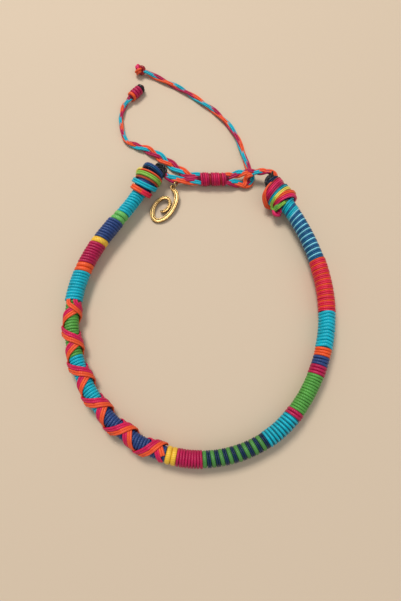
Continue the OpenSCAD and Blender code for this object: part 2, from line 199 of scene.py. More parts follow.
def thread_material(name, colour, roughness=0.36):
    """Waxed twisted thread: u runs along it in millimetres, v once round it."""
    material, tree, surface = blank_material(
        name, Roughness=roughness, Specular_IOR_Level=0.32, Sheen_Weight=0.02, Sheen_Roughness=0.4)
    uv = tree.nodes.new("ShaderNodeUVMap")
    parts = tree.nodes.new("ShaderNodeSeparateXYZ")
    tree.links.new(uv.outputs["UV"], parts.inputs[0])
    along, around = parts.outputs["X"], parts.outputs["Y"]
    turns = maths(tree, "ADD", maths(tree, "MULTIPLY", along, 1 / PLY_TURN), around)
    ply = maths(tree, "SINE", maths(tree, "MULTIPLY", turns, 2 * math.pi * PLIES))

    stretched = tree.nodes.new("ShaderNodeCombineXYZ")
    tree.links.new(mixture(tree, (around, FIBRES_DRIFT), (along, FIBRES_ALONG)), stretched.inputs[0])
    tree.links.new(maths(tree, "MULTIPLY", turns, FIBRES_ACROSS), stretched.inputs[1])
    fibres = noise(tree, stretched.outputs[0], Scale=1.0, Detail=3.0, Roughness=0.6)
    patches = noise(tree, object_place(tree), Scale=420.0, Detail=2.0)

    # The ply wave lightens the plies' crests and darkens the grooves between them: painted shade,
    # besides the random patches and fibres
    tone = mixture(tree, (patches, 0.45), (fibres, 0.55), (ply, 0.1))
    paint(tree, surface, tone, (toned(colour, DARKEST), toned(colour, LIGHTEST)), TONE_ENDS)
    relief = mixture(tree, (fibres, 0.9), (ply, 0.6))
    emboss(tree, surface, relief, strength=0.55, metres=0.00005)
    return material


def gold_material():
    """Brass, worn in patches and lightly hammered."""
    material, tree, surface = blank_material("gold", Metallic=1.0)
    place = object_place(tree)
    worn = noise(tree, place, Scale=420.0, Detail=4.0, Roughness=0.6)
    paint(tree, surface, worn, METAL_TONES, (0.3, 0.7))
    rough = maths(tree, "ADD", maths(tree, "MULTIPLY", worn, 0.08), 0.26)
    tree.links.new(rough, surface.inputs["Roughness"])
    hammered = noise(tree, place, Scale=1400.0, Detail=2.0)
    emboss(tree, surface, hammered, strength=0.03, metres=0.00001)
    return material


def cord_core_material():
    material, tree, surface = blank_material("core_cord", Roughness=0.8)
    weave = noise(tree, object_place(tree), Scale=1500.0, Detail=3.0)
    paint(tree, surface, weave, CORE_TONES)
    emboss(tree, surface, weave, strength=0.4, metres=0.0001)
    return material


def paint_node(node, material):
    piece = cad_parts[node]
    piece.data.materials.clear()
    piece.data.materials.append(material)


THREAD = {name: thread_material("thread_" + name, colour) for name, colour in COLOURS.items()}
# Darkened copies of the thread colours for the beds: painted shade in the gaps between threads
PAINTED_SHADE_BEDS = {name: thread_material("bed_" + name, toned(colour, BED_PAINTED_SHADE), BED_ROUGHNESS)
       for name, colour in COLOURS.items()}
GOLD = gold_material()
paint_node("core", cord_core_material())


# Lines and turns

CURVE_STEPS = 24  # between two points of a route


def unit(v):
    return v / np.linalg.norm(v, axis=-1, keepdims=True)


def headings(points):
    return unit(np.gradient(points, axis=0))


def arc_lengths(points):
    return np.concatenate([[0], np.cumsum(np.linalg.norm(np.diff(points, axis=0), axis=1))])


def shares(points):
    """How far each point is along its line, from 0 to 1."""
    along = arc_lengths(points)
    return along / along[-1]


def evenly(share, values):
    """Values spaced evenly along a line, read at a share of its length."""
    return np.interp(share, np.linspace(0, 1, len(values)), values)


def upward(line):
    return np.tile(UP, (len(line), 1))


def ease(x):
    x = np.clip(x, 0, 1)
    return x * x * (3 - 2 * x)


def spun(points, radians):
    """Points turned about the upright axis."""
    x, y, z = points.T
    cos, sin = math.cos(radians), math.sin(radians)
    return np.stack([x * cos - y * sin, x * sin + y * cos, z], 1)


def smooth_route(route, step):
    """Points a step apart on a curve through the route's points."""
    route = np.asarray(route, float)
    padded = np.vstack([2 * route[0] - route[1], route, 2 * route[-1] - route[-2]])
    t = np.linspace(0, 1, CURVE_STEPS, endpoint=False)[:, None]
    curves = [0.5 * (2 * b + (c - a) * t + (2 * a - 5 * b + 4 * c - d) * t**2
                     + (3 * b - a - 3 * c + d) * t**3)
              for a, b, c, d in zip(padded, padded[1:], padded[2:], padded[3:])]
    fine = np.vstack([*curves, route[-1:]])
    along = arc_lengths(fine)
    at = np.linspace(0, along[-1], max(2, round(along[-1] / step) + 1))
    return np.stack([np.interp(at, along, fine[:, k]) for k in range(3)], 1)


# Sweeping strands into meshes

END_STEPS = ((0.98, 0.18), (0.8, 0.62), (0.45, 0.9))  # how far out, and how wide, a round end is
DOUBLE_OVERLAP = 1.12  # by which each of two threads is wider than its half


def face_places(rows, sides):
    """The ring and the side of each face between rings of points."""
    return np.meshgrid(np.arange(rows - 1), np.arange(sides), indexing="ij")


def face_corners(rows, sides):
    """Each face's four points, by number: two on its ring, then two on the next one."""
    i, k = face_places(rows, sides)
    beside = (k + 1) % sides
    return i * sides + k, i * sides + beside, (i + 1) * sides + beside, (i + 1) * sides + k


def face_uvs(along, sides):
    """Texture places of the faces' corners: length along the strand, share round it."""
    i, k = face_places(len(along), sides)
    u = np.stack([along[i], along[i], along[i + 1], along[i + 1]], -1)
    v = np.stack([k, k + 1, k + 1, k], -1) / sides
    return np.stack([u, v], -1).reshape(-1, 2)


def section_of(sides, boxy):
    """Each side's place across and up: a circle where boxy is 1, boxlike where it is less."""
    turn = 2 * math.pi * np.arange(sides) / sides
    return [np.sign(x) * np.abs(x) ** boxy / 2 for x in (np.cos(turn), np.sin(turn))]


def rounded(points, outward, forward, width, height):
    """The same strand with a few thinner rings more at each end."""
    reach = height[0] / 2, height[-1] / 2
    before = [points[0] - forward[0] * reach[0] * out for out, _ in END_STEPS]
    after = [points[-1] + forward[-1] * reach[1] * out for out, _ in END_STEPS[::-1]]
    thin = np.array([wide for _, wide in END_STEPS])
    added = len(END_STEPS)
    return (np.vstack([before, points, after]),
            np.vstack([[outward[0]] * added, outward, [outward[-1]] * added]),
            np.vstack([[forward[0]] * added, forward, [forward[-1]] * added]),
            np.concatenate([thin * width[0], width, thin[::-1] * width[-1]]),
            np.concatenate([thin * height[0], height, thin[::-1] * height[-1]]))


def add_piece(node, kind, mesh):
    """A visible piece, which stands for a solid node and is named after it."""
    mesh.polygons.foreach_set("use_smooth", np.ones(len(mesh.polygons), bool))
    mesh.update()
    piece = add_object(f"{node}_{kind}", mesh)
    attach(piece, "root")
    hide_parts(node)
    return piece


class Bundle:
    """Strands that become one mesh, each with its own material."""

    def __init__(self):
        self.points, self.quads, self.uvs, self.slots = [], [], [], []
        self.ends, self.end_slots = [], []
        self.materials = []
        self.count = 0

    def slot(self, material):
        if material not in self.materials:
            self.materials.append(material)
        return self.materials.index(material)

    def strand(self, points, outward, width, height, material, sides=8, boxy=1.0, round_ends=True):
        """A strand of that width across and height outward, along points."""
        width = np.broadcast_to(width, len(points))
        height = np.broadcast_to(height, len(points))
        forward = headings(points)
        outward = unit(outward - (outward * forward).sum(1, keepdims=True) * forward)
        if round_ends:
            points, outward, forward, width, height = rounded(
                points, outward, forward, width, height)
        side = np.cross(forward, outward)
        across, up = section_of(sides, boxy)
        rings = (points[:, None]
                 + side[:, None] * across[None, :, None] * width[:, None, None]
                 + outward[:, None] * up[None, :, None] * height[:, None, None])
        self.add_rings(rings, arc_lengths(points), self.slot(material))

    def add_rings(self, rings, along, slot):
        """Faces between rings of points, and one face to close each end."""
        rows, sides = rings.shape[:2]
        quads = np.stack(face_corners(rows, sides), -1).reshape(-1, 4)
        self.points.append(rings.reshape(-1, 3))
        self.quads.append(quads + self.count)
        self.uvs.append(face_uvs(along, sides))
        self.slots.append(np.full(len(quads), slot))
        first = np.arange(sides)[::-1]
        last = (rows - 1) * sides + np.arange(sides)
        self.ends += [(first + self.count).tolist(), (last + self.count).tolist()]
        self.end_slots += [slot, slot]
        self.count += rows * sides

    def double(self, points, outward, width, height, colour, **options):
        """Two threads tight side by side, together of that width."""
        side = unit(np.cross(headings(points), outward))
        each = np.broadcast_to(width / 2, len(points))
        for place in (-0.5, 0.5):
            shift = place * each[:, None]
            self.strand(points + side * shift, outward, each * DOUBLE_OVERLAP, height,
                        THREAD[colour], **options)

    def painted_shade_bed(self, points, diameter, colour, sides, round_ends=True):
        """A round strand painted dark, as painted shade that shows only in the threads' gaps."""
        self.strand(points, upward(points), diameter, diameter, PAINTED_SHADE_BEDS[colour], sides=sides,
                    round_ends=round_ends)

    def make(self, node, kind="thread", also=()):
        """The piece, after also has added more: functions, each with what it needs."""
        for add, *details in also:
            add(self, *details)
        mesh = bpy.data.meshes.new(f"{node}_{kind}")
        points = np.vstack(self.points) * MM
        mesh.from_pydata(points.tolist(), [], np.vstack(self.quads).tolist() + self.ends)
        layer = mesh.uv_layers.new(name="UVMap")
        end_uvs = np.zeros((sum(len(end) for end in self.ends), 2))
        layer.data.foreach_set("uv", np.vstack([*self.uvs, end_uvs]).ravel())
        for material in self.materials:
            mesh.materials.append(material)
        mesh.polygons.foreach_set("material_index", np.concatenate(self.slots + [self.end_slots]))
        mesh.validate()
        return add_piece(node, kind, mesh)


# Ties and tails: braids of three double threads, with routes repeated from the solids

TIE_D = 1.9
LAID = TIE_D / 2
STRAND_W = 1.12
STRAND_H = 0.8
BRAID_RISE = 0.36
BRAID_PHASE = 1 / 8  # of a turn, from the middle to a thread's highest place
BRAID_STEP = 0.3
TIE_COLOURS = ("turquoise", "coral", "magenta")
OTHER_WAY = ("turquoise", "magenta", "coral")
LEFT_TIE = [(-10.6, 42.7, 3.3), (-9.9, 41.9, 3.0), (-8.5, 41.4, 2.6), (-6.7, 41.1, 2.4),
            (-4.6, 41.0, 2.25), (-1.9, 40.7, 2.2), (0.68, 40.35, 2.25)]
RIGHT_TIE = [(22.7, 42.6, 4.7), (21.6, 42.9, 4.4), (20.1, 43.1, 4.0), (18.6, 43.2, 3.6),
             (16.7, 43.3, 3.3), (14.1, 43.3, 2.9), (11.5, 42.9, 2.4), (8.92, 42.55, 2.25)]
TIE_TURN = [(8.92, 40.35, 2.25), (11.1, 40.5, 1.7), (13.1, 40.35, 1.2), (14.9, 40.2, LAID),
            (16.4, 40.6, LAID), (17.2, 41.8, LAID), (17.3, 43.5, LAID), (16.7, 45.8, LAID)]
LONG_TAIL = [(16.7, 45.8, LAID), (16.3, 47.3, LAID), (15.5, 50.0, LAID), (14.8, 52.8, LAID),
             (14.0, 55.7, LAID), (13.1, 58.5, LAID), (11.7, 61.4, LAID), (10.0, 64.1, LAID),
             (7.8, 66.9, LAID), (5.3, 69.6, LAID), (2.3, 72.2, LAID), (-0.9, 74.9, LAID),
             (-4.5, 77.7, LAID), (-8.4, 80.2, LAID), (-12.2, 82.4, LAID), (-15.8, 84.3, 1.15),
             (-19.15, 86.1, 1.65)]
SHORT_TAIL = [(0.68, 42.55, 2.25), (-1.3, 42.9, 1.8), (-3.5, 43.8, 1.3), (-6.1, 45.7, LAID),
              (-8.7, 47.6, LAID), (-11.5, 49.8, LAID), (-14.4, 52.0, LAID), (-17.4, 53.8, LAID),
              (-20.7, 55.1, LAID), (-23.5, 56.4, LAID), (-25.2, 58.7, LAID), (-26.0, 61.7, LAID),
              (-26.6, 65.1, LAID), (-26.5, 68.5, LAID), (-25.6, 71.7, 1.15), (-23.55, 74.5, 1.7)]
# Two orange threads of the right tie: they hook into the turn of the ties and go over the tip
TURN_THREAD = [(17.1, 42.3, 3.5), (16.1, 42.0, 3.4), (15.4, 41.8, 2.8), (15.2, 41.3, 2.0),
               (15.2, 40.5, 1.6), (14.8, 39.6, 1.5)]
TIP_THREAD = [(21.6, 42.85, 4.7), (22.45, 42.57, 5.05), (23.29, 42.32, 5.2), (24.08, 41.87, 5.1),
              (24.59, 41.08, 4.8), (24.5, 40.4, 4.4)]
TIE_THREAD_W = 1.3
THREAD_STEP = 0.2


def braid_threads(line, turn_length, first_on_top, spreads):
    """The way up and three middle lines. The first is on top where first_on_top says."""
    forward = headings(line)
    side = unit(np.cross(UP, forward))
    up = np.cross(forward, side)
    half = (TIE_D - STRAND_W) / 2 * evenly(shares(line), spreads)[:, None]
    threads = []
    for k in range(3):
        turns = (arc_lengths(line) - first_on_top) / turn_length + k / 3 + BRAID_PHASE
        turn = 2 * math.pi * turns[:, None]
        threads.append(line + side * half * np.sin(turn) + up * BRAID_RISE * np.sin(2 * turn))
    return up, threads


def make_braid(node, route, turn_length, first_on_top, spreads, widths, colours=TIE_COLOURS,
               also=()):
    """A braid whose spread and widths change along it. Gives the piece and its middle line."""
    line = smooth_route(route, BRAID_STEP)
    up, threads = braid_threads(line, turn_length, first_on_top, spreads)
    wide = STRAND_W * evenly(shares(line), widths)
    bundle = Bundle()
    for points, colour in zip(threads, colours):
        bundle.double(points, up, wide, STRAND_H, colour)
    return bundle.make(node, "braid", also), line


def add_tie_thread(bundle, route):
    """A thread that leaves its tie."""
    line = smooth_route(route, THREAD_STEP)
    bundle.double(line, upward(line), TIE_THREAD_W, STRAND_H, "coral")


LONG_BRAID = make_braid("long_tail", LONG_TAIL, 25, 5.0, (1.0, 0.75, 0.8, 1.0), (1.0, 0.95))
SHORT_BRAID = make_braid("short_tail", SHORT_TAIL, 15, 7.9,
                         (1.6, 2.0, 2.4, 2.5, 2.3, 1.7, 0.8, 0.6, 0.6, 0.7, 0.8),
                         (1.2, 1.2, 1.1, 0.9, 0.9, 1.0), OTHER_WAY)
make_braid("tie_turn", TIE_TURN, 14, 2.8, (1.5, 1.6, 1.0), (1.2, 1.3, 1.0))
make_braid("left_tie", LEFT_TIE, 18, 2.5, (1.1, 1.7, 1.3), (1.3, 1.35, 1.15))
make_braid("right_tie", RIGHT_TIE, 11.2, 4.0, (1.0, 1.2, 1.6, 1.3), (1.1, 1.2, 1.2), OTHER_WAY,
           [(add_tie_thread, TURN_THREAD)])


# Wound turns round a straight axis, for the sliding knot and the short tail's knot

TURN_ANGLES = np.linspace(-90, 270, 41)  # from the bottom round to the bottom
JOG_WINDOW = 45  # how far to each side of the bottom a turn moves on
KNOT_BOXY = 0.85


def jog(angle):
    """Share of a turn's advance at an angle: half of it before, and half behind, the bottom."""
    late = ease((angle - 270 + JOG_WINDOW) / JOG_WINDOW)
    early = ease((JOG_WINDOW - 90 - angle) / JOG_WINDOW)
    return 0.5 * late - 0.5 * early


def turns_round(bundle, origin, forward, spots, radii, widths, height, colours, lean):
    """One strand for each spot along the axis, each a ring that moves on underneath."""
    side = unit(np.cross(UP, forward))
    up = np.cross(forward, side)
    a = np.radians(TURN_ANGLES)[:, None]
    out = -side * np.cos(a) + up * np.sin(a)
    for k, (spot, r, width, colour) in enumerate(zip(spots, radii, widths, colours)):
        advance = spots[k + 1] - spot if k + 1 < len(spots) else spot - spots[k - 1]
        x = spot + advance * jog(TURN_ANGLES)[:, None] + lean * np.cos(a)
        bundle.strand(origin + forward * x + out * (r - height / 2), out, width, height,
                      THREAD[colour], boxy=KNOT_BOXY, round_ends=False)


# Sliding knot

SLIDE_AT = np.array([0.7, 41.45, 2.25])
SLIDE_LENGTH = 8.2
SLIDE_TURNS = 12
SLIDE_R = 2.23
SLIDE_UNEVEN = (-0.07, 0.03)  # of the radii
SLIDE_WIDTHS = (0.92, 1.12)  # of the threads, in pitches
SLIDE_THREAD_H = 0.85
SLIDE_LEAN = 0.2
SLIDE_CREASES = (3.1, 6.3)  # where turns have sunk in, and where those turns are painted darker as painted shade
CREASE_WIDTH = 0.45
CREASE_DEPTH = 0.26
SLIDE_END_LESS = 0.12
SLIDE_BED_D = 2.7
SLIDE_BED_INSET = 0.3


def make_sliding_knot():
    pitch = SLIDE_LENGTH / SLIDE_TURNS
    spots = (np.arange(SLIDE_TURNS) + 0.5) * pitch
    sunk = sum(np.exp(-((spots - crease) / CREASE_WIDTH) ** 2) for crease in SLIDE_CREASES)
    radii = SLIDE_R - CREASE_DEPTH * sunk + RNG.uniform(*SLIDE_UNEVEN, SLIDE_TURNS)
    radii[[0, -1]] -= SLIDE_END_LESS
    # Turns sunk in a crease are painted the darker wine: painted shade in the creases
    colours = ["wine" if s > 0.5 else ("rose", "magenta")[k % 2] for k, s in enumerate(sunk)]
    widths = pitch * RNG.uniform(*SLIDE_WIDTHS, SLIDE_TURNS)
    forward = np.array([1.0, 0, 0])
    inside = np.linspace(SLIDE_BED_INSET, SLIDE_LENGTH - SLIDE_BED_INSET, 8)[:, None]
    bundle = Bundle()
    turns_round(bundle, SLIDE_AT, forward, spots, radii, widths, SLIDE_THREAD_H, colours, SLIDE_LEAN)
    bundle.painted_shade_bed(SLIDE_AT + forward * inside, SLIDE_BED_D, "magenta", sides=16)
    return bundle.make("sliding_knot")


make_sliding_knot()


# Knots at the ends of the tails

LONG_KNOT_AT = np.array([-20.9, 86.4, 1.85])
LONG_KNOT_TURN = math.radians(200)
LONG_KNOT_SIZE = 0.5
LONG_KNOT_RISE = 1.4
LONG_KNOT_THREAD = (1.5, 1.1)  # width and height
LONG_KNOT_BED = (0.5, 1.9)  # half length and diameter
TREFOIL_STEPS = 40  # in each of its three stretches
SHORT_KNOT_AT = np.array([-23.5, 74.55, 1.75])
SHORT_KNOT_HEADING = math.radians(49)
SHORT_KNOT_THREAD = (1.12, 0.95)
SHORT_KNOT_LEAN = 0.1
SHORT_KNOT_BED_D = 2.0
SHORT_KNOT_BED_ENDS = (0.2, 5.3)
# Columns: place along the short tail's knot, radius and colour of each turn
SHORT_KNOT_TURNS = [(0.55, 1.66, "orange"), (1.65, 1.74, "magenta"), (2.75, 1.74, "magenta"),
                    (3.85, 1.7, "magenta"), (4.95, 1.55, "black")]


def make_long_tail_knot():
    """A tied overhand knot: a trefoil line, whose stretches show the three threads."""
    t = np.linspace(0, 2 * math.pi, 3 * TREFOIL_STEPS + 1)
    trefoil = np.stack([np.sin(t) + 2 * np.sin(2 * t), np.cos(t) - 2 * np.cos(2 * t),
                        -LONG_KNOT_RISE * np.sin(3 * t)], 1) * LONG_KNOT_SIZE
    trefoil = spun(trefoil, LONG_KNOT_TURN) + LONG_KNOT_AT
    bundle = Bundle()
    for k, colour in enumerate(("coral", "pink", "wine")):
        part = trefoil[k * TREFOIL_STEPS:(k + 1) * TREFOIL_STEPS + 1]
        bundle.double(part, unit(part - LONG_KNOT_AT), *LONG_KNOT_THREAD, colour)
    half, bed_d = LONG_KNOT_BED
    bundle.painted_shade_bed(LONG_KNOT_AT + half * np.array([[-1, 0, 0], [0, 0, 0], [1, 0, 0]]), bed_d, "wine",
               sides=12)
    return bundle.make("long_tail_knot")


def make_short_tail_knot():
    forward = np.array([math.cos(SHORT_KNOT_HEADING), math.sin(SHORT_KNOT_HEADING), 0])
    spots, radii, colours = zip(*SHORT_KNOT_TURNS)
    width, height = SHORT_KNOT_THREAD
    bundle = Bundle()
    turns_round(bundle, SHORT_KNOT_AT, forward, spots, radii, [width] * len(spots), height, colours,
                SHORT_KNOT_LEAN)
    inside = SHORT_KNOT_AT + forward * np.linspace(*SHORT_KNOT_BED_ENDS, 6)[:, None]
    bundle.painted_shade_bed(inside, SHORT_KNOT_BED_D, "magenta", sides=12)
    return bundle.make("short_tail_knot")


make_long_tail_knot()
make_short_tail_knot()


# The band's path, repeated from the solids. In a section, the bend is to the left, threads are
# those of one repeat as (colour, width), lean is how far a turn's outer side is ahead of its
# middle, and zigzag is how far its top is bent

Section = namedtuple("Section", "name length bend outer_d threads lean zigzag", defaults=[0])
BAND_START = (-18.7, 35.0, 241.0)  # x, y and heading
BAND_LIFT = 3.66
BAND_TILT = math.radians(1.05)
SECTIONS = [Section(*row) for row in (
    ("wound_turquoise_1", 8.6, -8, 4.4, [("turquoise", 0.95)], 0.38),
    ("wound_green_1", 3.2, 0, 4.5, [("leaf", 1.6)], 0.35),
    ("wound_navy_1", 7.3, 5, 5.0, [("navy", 0.9)], 0.42),
    ("wound_yellow_1", 1.9, 2, 5.0, [("yellow", 1.6)], 0.4),
    ("wound_magenta_1", 7.1, 8, 5.1, [("magenta", 0.9)], 0.4),
    ("wound_orange_1", 2.8, 4, 5.0, [("orange", 1.35)], 0.45),
    ("wound_turquoise_2", 9.1, 13, 5.1, [("turquoise", 0.88)], 0.22),
    ("crossed_green", 16.5, 24, 4.1, [("green", 0.85)], 0.2),
    ("crossed_turquoise", 16.3, 21, 4.1, [("turquoise", 0.85)], 0.2),
    ("crossed_navy", 21.7, 34, 4.1, [("navy", 0.85)], 0.2),
    ("wound_yellow_2", 2.9, 5, 4.8, [("yellow", 1.4)], 0.1),
    ("wound_magenta_2", 6.8, 12, 4.8, [("magenta", 0.75)], 0.0),
    ("striped_green_navy", 17.9, 30, 4.5,
     [("moss", 1.26), ("midnight", 0.54), ("midnight", 0.54)], 0.22),
    # The narrow teal thread between the turquoise turns is painted shade in the gaps between them
    ("wound_turquoise_3", 9.4, 17, 4.8, [("turquoise", 0.8), ("teal", 0.26)], 0.1),
    ("wound_magenta_3", 1.9, 3, 4.9, [("magenta", 0.95)], 0.15),
    ("wound_green_2", 11.4, 14, 4.6, [("green", 0.8)], 0.1),
    ("wound_magenta_4", 2.8, 3, 4.8, [("magenta", 0.9)], 0.1),
    ("wound_navy_2", 2.7, 3, 4.7, [("navy", 0.9)], 0.12),
    ("wound_orange_2", 2.5, 3, 4.7, [("orange", 0.85)], 0.1),
    ("wound_turquoise_4", 10.7, 13, 4.9, [("turquoise", 0.97)], 0.0, 0.7),
    ("wound_red", 16.3, 18, 5.1, [("red", 0.6), ("red", 0.6), ("orange", 0.45)], 0.12),
    ("striped_navy_blue", 16.4, 13, 4.7,
     [("petrol", 0.56), ("petrol", 0.56), ("sky", 0.46)], 0.3),
    ("wound_turquoise_5", 3.3, 1, 4.7,
     [*[("turquoise", 0.6)] * 2, ("petrol", 0.75), *[("turquoise", 0.6)] * 2], 0.85),
)]
STARTS = np.concatenate([[0], np.cumsum([section.length for section in SECTIONS])])
BAND_LENGTH = STARTS[-1]
PATH_STEP = 0.1
PATH_AT = np.arange(-1.0, BAND_LENGTH + 2.0, PATH_STEP)


def pose_after(pose, length, bend):
    """The pose after a stretch that is straight or an arc."""
    x, y, heading = pose
    h = math.radians(heading)
    if bend == 0:
        return (x + length * math.cos(h), y + length * math.sin(h), heading)
    radius = length / math.radians(bend)
    turned = h + math.radians(bend)
    return (x + radius * (math.sin(turned) - math.sin(h)),
            y - radius * (math.cos(turned) - math.cos(h)), heading + bend)


POSES = [BAND_START]
for section in SECTIONS:
    POSES.append(pose_after(POSES[-1], section.length, section.bend))


def pose_at(distance):
    """The pose at a distance along the band, or a little beyond its ends."""
    k = int(np.clip(np.searchsorted(STARTS, distance, side="right") - 1, 0, len(SECTIONS) - 1))
    past = distance - STARTS[k]
    return pose_after(POSES[k], past, SECTIONS[k].bend * past / SECTIONS[k].length)


PATH = np.array([pose_at(distance) for distance in PATH_AT])


def in_space(x, y, z):
    """Where points of the band's tilted plane lie, with z as the height over it."""
    cos, sin = math.cos(BAND_TILT), math.sin(BAND_TILT)
    return np.stack([x, y * cos - z * sin, y * sin + z * cos + BAND_LIFT], -1)


def band_middle(distance):
    x, y = (np.interp(distance, PATH_AT, PATH[:, k]) for k in (0, 1))
    return in_space(x, y, np.zeros_like(x))


def around_band(distance, angle, r):
    """Points round the band, and the way out of it: 0 is the outer side, 90 the top."""
    x, y, heading = (np.interp(distance, PATH_AT, PATH[:, k]) for k in range(3))
    h, a = np.radians(heading), np.radians(angle)
    across = -np.cos(a)
    dx, dy, dz = -np.sin(h) * across, np.cos(h) * across, np.sin(a)
    edge = in_space(x + dx * r, y + dy * r, dz * r)
    return edge, unit(edge - band_middle(distance))


# Windings of the band

LEAN_AT = (STARTS[:-1] + STARTS[1:]) / 2
LEANS = np.array([section.lean for section in SECTIONS])
LAST_TURN = (BAND_LENGTH + 0.3, "turquoise", 0.7, 0.4)  # it rides up the right knob
THREAD_RISE = 0.78  # thickness of a wound thread over its width
THREAD_H = (0.5, 0.85)  # least and most
FINE_THREAD = 0.5
FINE_SUNK = 0.06  # how much deeper a thread lies that is narrower than FINE_THREAD
R_UNEVEN = (-0.03, 0.015)
LEAN_UNEVEN = 0.06
PLACE_UNEVEN = 0.025
SWELL = 0.03
SWELL_SHIFT = 40  # in degrees from turn to turn
HIDDEN_STEPS = 5  # left out of a section's first and last turns, which would run past its ends
WOUND_BOXY = 0.9
BED_LESS = 1.1
BED_STEP = 0.8
BED_GAP = 0.02


def zigzag_wave(angle):
    """One bend on top, none underneath."""
    return (0.5 - np.abs(angle - 90) / 90) * np.clip(np.sin(np.radians(angle)) * 2, 0, 1)


def turns_of(section, start, repeats, fitted):
    """A section's turns: place along the band, colour, width and how far each is raised."""
    turns = []
    at = start
    for colour, width in section.threads * repeats:
        turns.append((at + width * fitted / 2, colour, width * fitted, 0))
        at += width * fitted
    if section is SECTIONS[-1]:
        turns.append(LAST_TURN)
    return turns


def wind_turn(bundle, section, turn, number, advance, angle):
    """One turn of thread, a little uneven, which moves on underneath."""
    spot, colour, width, raised = turn
    least, most = THREAD_H
    thick = min(most, max(least, width * THREAD_RISE))
    r = section.outer_d / 2 - thick / 2 + RNG.uniform(*R_UNEVEN) + raised
    if width < FINE_THREAD:
        r -= FINE_SUNK
    lean = np.interp(spot, LEAN_AT, LEANS) + RNG.uniform(-LEAN_UNEVEN, LEAN_UNEVEN)
    at = spot + advance * jog(angle) + lean * np.cos(np.radians(angle))
    at += section.zigzag * zigzag_wave(angle) + RNG.uniform(-PLACE_UNEVEN, PLACE_UNEVEN)
    points, out = around_band(at, angle, r)
    swell = 1 + SWELL * np.sin(np.radians(angle * 2 + SWELL_SHIFT * number))
    bundle.strand(points, out, width * swell, thick, THREAD[colour], boxy=WOUND_BOXY,
                  round_ends=False)


def make_winding(section, start, stop):
    repeat = sum(width for _, width in section.threads)
    repeats = max(1, round(section.length / repeat))
    fitted = section.length / (repeats * repeat)
    turns = turns_of(section, start, repeats, fitted)
    advance = repeat * fitted if repeats > 1 else 0
    bundle = Bundle()
    for k, turn in enumerate(turns):
        angle = TURN_ANGLES
        if repeats > 1:
            first = HIDDEN_STEPS * (k < len(section.threads))
            last = HIDDEN_STEPS * (k >= len(turns) - len(section.threads))
            angle = angle[first:len(angle) - last]
        wind_turn(bundle, section, turn, k, advance, angle)
    # A bed under the turns, painted dark as shade in the gaps between them
    steps = max(3, round(section.length / BED_STEP))
    painted_shade_bed = band_middle(np.linspace(start + BED_GAP, stop - BED_GAP, steps + 1))
    bundle.painted_shade_bed(painted_shade_bed, section.outer_d - BED_LESS, section.threads[0][0], sides=20, round_ends=False)
    bundle.make(section.name)


for section, start, stop in zip(SECTIONS, STARTS, STARTS[1:]):
    make_winding(section, start, stop)


# Crisscross threads: two pairs that go round the band opposite ways

CROSSED = [k for k, section in enumerate(SECTIONS) if section.name.startswith("crossed_")]
CROSSED_FROM = STARTS[CROSSED[0]]
CROSSED_TO = STARTS[CROSSED[-1] + 1]
CROSS_MARGIN = 0.7
OVER_MARGIN = 0.1
CROSS_PITCH = 9.6
CROSS_W = 1.2
CROSS_H = 0.4
CROSS_GAP = 0.03
CROSS_SPARE = (0.06, 0.08)  # by which the threads are wider and thicker than the solid ones
CROSS_STEPS = 48  # in one turn
CROSSED_D = SECTIONS[CROSSED[0]].outer_d
CROSS_SLOPE = math.atan(math.pi * (CROSSED_D + CROSS_H) / CROSS_PITCH)
PAIR_SPACING = (CROSS_W + CROSS_GAP) / math.sin(CROSS_SLOPE)
FIRST_CROSSING = CROSSED_FROM + 3.5
CROSSING_ANGLE = 140
# The upper pair starts on top: its least angle, the difference between the two, the softening
LEAST_ANGLE = 93
PAIR_ANGLE = 48
SOFTENING = 8
# The first turns are tighter: by this angle they are ahead, and it fades over this length
AHEAD = 45
AHEAD_LENGTH = 30
# How near a crossing a thread is, from 0 to 1, where it starts to lift and is lifted in full
LIFT_FROM = 0.12
LIFT_FULL = 0.5


def cross_angle(at, shift, over):
    """The angle at which a thread is round the band."""
    turned = 360 * (at - FIRST_CROSSING - shift * PAIR_SPACING) / CROSS_PITCH
    turned += AHEAD * np.clip(1 - (at - CROSSED_FROM) / AHEAD_LENGTH, 0, 1)
    return CROSSING_ANGLE + turned if over else CROSSING_ANGLE - turned


def make_cross_thread(node, colour, shift, over):
    """One thread of the crisscross. The upper pair starts from under the winding before."""
    first = CROSSED_FROM + (OVER_MARGIN if over else CROSS_MARGIN)
    last = CROSSED_TO - CROSS_MARGIN
    at = np.linspace(first, last, math.ceil((last - first) / CROSS_PITCH * CROSS_STEPS) + 1)
    angle = cross_angle(at, shift, over)
    r = CROSSED_D / 2 + CROSS_GAP + CROSS_H / 2
    if over:
        near = np.cos(np.radians(angle - CROSSING_ANGLE)) ** 2
        r = r + (CROSS_H + CROSS_GAP) * ease((near - LIFT_FROM) / (LIFT_FULL - LIFT_FROM))
        least = LEAST_ANGLE - shift * PAIR_ANGLE
        angle = least + SOFTENING * np.log1p(np.exp((angle - least) / SOFTENING))
    points, out = around_band(at, angle, r)
    bundle = Bundle()
    bundle.double(points, out, CROSS_W + CROSS_SPARE[0], CROSS_H + CROSS_SPARE[1], colour,
                  boxy=WOUND_BOXY)
    bundle.make(node)


for pair, over in (("over", True), ("under", False)):
    make_cross_thread(f"cross_{pair}_magenta", "rose", -0.5, over)
    make_cross_thread(f"cross_{pair}_orange", "coral", 0.5, over)


# End knobs. In a wrap, inner and outer are its places along the knob at its inner and its outer
# side, then come its reach to the inner side, to the outer side and up, how far its top leans away
# from the band, and its threads from the band outward as (colour, width)

